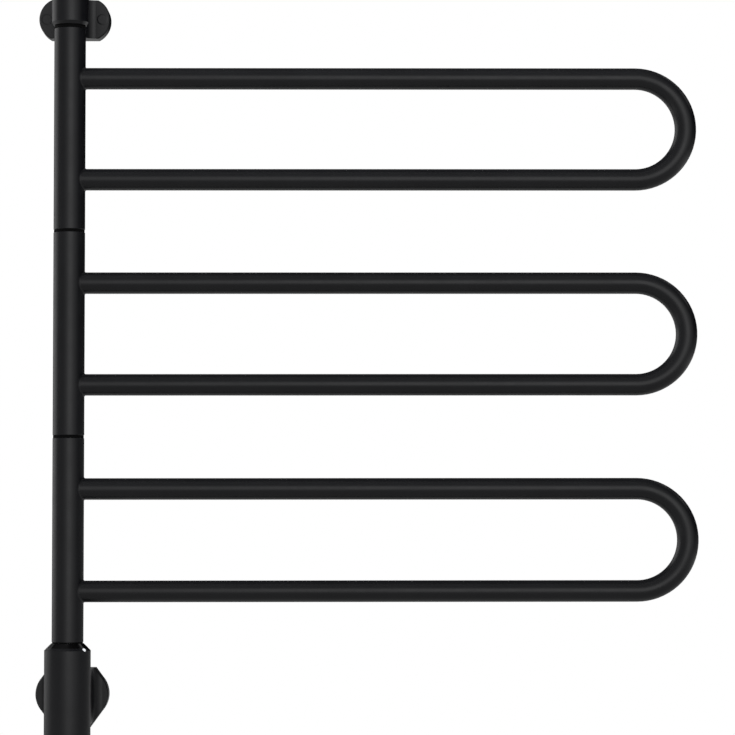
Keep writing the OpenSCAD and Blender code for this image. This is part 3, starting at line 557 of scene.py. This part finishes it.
dome = bmesh.new()
bmesh.ops.create_uvsphere(dome, u_segments=180, v_segments=90, radius=dome_r)
in_gap = []
for face in dome.faces:
    middle_of_face = face.calc_center_median()
    beside = gap_bearings[0] < bearing(middle_of_face) < gap_bearings[1]
    if beside and gap_heights[0] < elevation(middle_of_face) < gap_heights[1]:
        in_gap.append(face)
bmesh.ops.delete(dome, geom=in_gap, context="FACES")
mesh = bpy.data.meshes.new("studio_cloths")
dome.to_mesh(mesh)
dome.free()
cloths = bpy.data.objects.new("studio_cloths", mesh)
cloths.location = dome_centre
bpy.context.scene.collection.objects.link(cloths)
floor_cloth = round_sheet("floor_cloth", floor_r + cloth_overhang, floor_z + cloth_lift)
for cloth in (cloths, floor_cloth):
    cloth.visible_camera = cloth.visible_diffuse = cloth.visible_shadow = False


def new_cloth_dye(name):
    """A dye for a cloth that glows, with each of its places and their direction from its middle."""
    dye = bpy.data.materials.new(name)
    dye.use_nodes = True
    dye.cycles.emission_sampling = "NONE"
    place = add_node(dye.node_tree, "TexCoord", {}).outputs["Object"]
    toward = add_node(dye.node_tree, "VectorMath", {0: place}, operation="NORMALIZE").outputs["Vector"]
    return dye, dye.node_tree, place, toward


def glow_within(tree, strength, *edges):
    """A glow that fades at its edges. Each is a measure, where the glow ends and where it is full."""
    for measure, ends, full in edges:
        strength = arithmetic(tree, "MULTIPLY", strength, between(tree, measure, 0, 1, ends, full))
    return strength


def glowing(tree, *glows):
    """Ends the cloth's shader with the brightest of its white glows."""
    strength = 0.0
    for glow in glows:
        strength = arithmetic(tree, "MAXIMUM", glow, strength)
    light = add_node(tree, "Emission", {"Color": (1, 1, 1, 1), "Strength": strength}).outputs[0]
    tree.links.new(light, tree.nodes["Material Output"].inputs["Surface"])


# Turns are in degrees from the viewer, positive to the right, and heights in parts of the radius.
dome_dye, tree, _, toward = new_cloth_dye("dome_cloth")
ahead = arithmetic(tree, "MULTIPLY", axis_of(tree, toward, "Y"), -1.0)
radians = arithmetic(tree, "ARCTAN2", axis_of(tree, toward, "X"), ahead)
turn = arithmetic(tree, "MULTIPLY", radians, 180 / math.pi)
turn_either_way = arithmetic(tree, "ABSOLUTE", turn)
height = axis_of(tree, toward, "Z")
front_left = glow_within(tree, 0.25, (turn, -140, -90), (turn, 80, 40))
dim_to_bright = between(tree, turn, low=0.22, high=0.74, start=-36, end=2)
front_right = glow_within(
    tree, dim_to_bright, (turn, 80, 32), (height, -0.24, -0.1), (height, 0.54, 0.38))
lower_half = glow_within(tree, 0.2, (height, 0.06, 0))
overhead_glow = glow_within(tree, 0.1, (height, 0.55, 0.9))
low_behind = glow_within(tree, 0.7, (turn_either_way, 118, 140), (height, -0.12, -0.16))
low_beside = glow_within(tree, 0.7, (turn_either_way, 35, 60), (height, -0.2, -0.24))
side_panels = glow_within(
    tree, 0.45, (turn_either_way, 80, 95), (turn_either_way, 132, 121),
    (height, 0.42, 0.5), (height, 0.68, 0.57))
small_panel = glow_within(
    tree, 0.85, (turn, 126, 131), (turn, 148, 143), (height, 0.6, 0.65), (height, 0.76, 0.71))
glowing(
    tree, front_left, front_right, lower_half, overhead_glow, low_behind, low_beside, side_panels,
    small_panel)
mesh.materials.append(dome_dye)
floor_dye, tree, place, toward = new_cloth_dye("floor_cloth_dye")
fore_and_aft = between(tree, axis_of(tree, toward, "Y"), low=0.28, high=0.36, start=-0.5, end=0.5)
sideways = arithmetic(tree, "ABSOLUTE", axis_of(tree, place, "X"))
glowing(tree, fore_and_aft, glow_within(tree, 0.7, (sideways, 1.5, 2.6)))
floor_cloth.data.materials.append(floor_dye)


# Lamps
# One great softbox in front and to the right makes the long highlight on the tubes. A wide
# soft lamp overhead lights the floor and lays the shadow on it.
post_middle = Vector((0, post_y, 0.3))
front_far = 8
front_wide = 4.4
front_tall = 4.7
front_glow = 0.5
front_turn = math.radians(13)
front_rise = math.radians(11)
front_aim = Vector((
    math.sin(front_turn) * math.cos(front_rise),
    -math.cos(front_turn) * math.cos(front_rise),
    math.sin(front_rise)))
overhead_wide = 1.6
overhead_watts = 22
overhead_place = (0.1, -0.6, 2.0)


def soft_lamp(name, wide, tall, watts, at):
    """A soft lamp out of the camera's sight that faces the middle of the post."""
    lamp = bpy.data.objects.new(name, bpy.data.lights.new(name, "AREA"))
    lamp.data.shape = "RECTANGLE"
    lamp.data.size = wide
    lamp.data.size_y = tall
    lamp.data.energy = watts
    lamp.location = at
    lamp.rotation_euler = (post_middle - Vector(at)).to_track_quat("-Z", "Y").to_euler()
    lamp.visible_camera = False
    bpy.context.scene.collection.objects.link(lamp)
    return lamp


soft_lamp(
    "front_softbox", front_wide, front_tall, math.pi * front_wide * front_tall * front_glow,
    post_middle + front_far * front_aim)
overhead = soft_lamp("overhead_softbox", overhead_wide, overhead_wide, overhead_watts, overhead_place)
overhead.visible_glossy = False
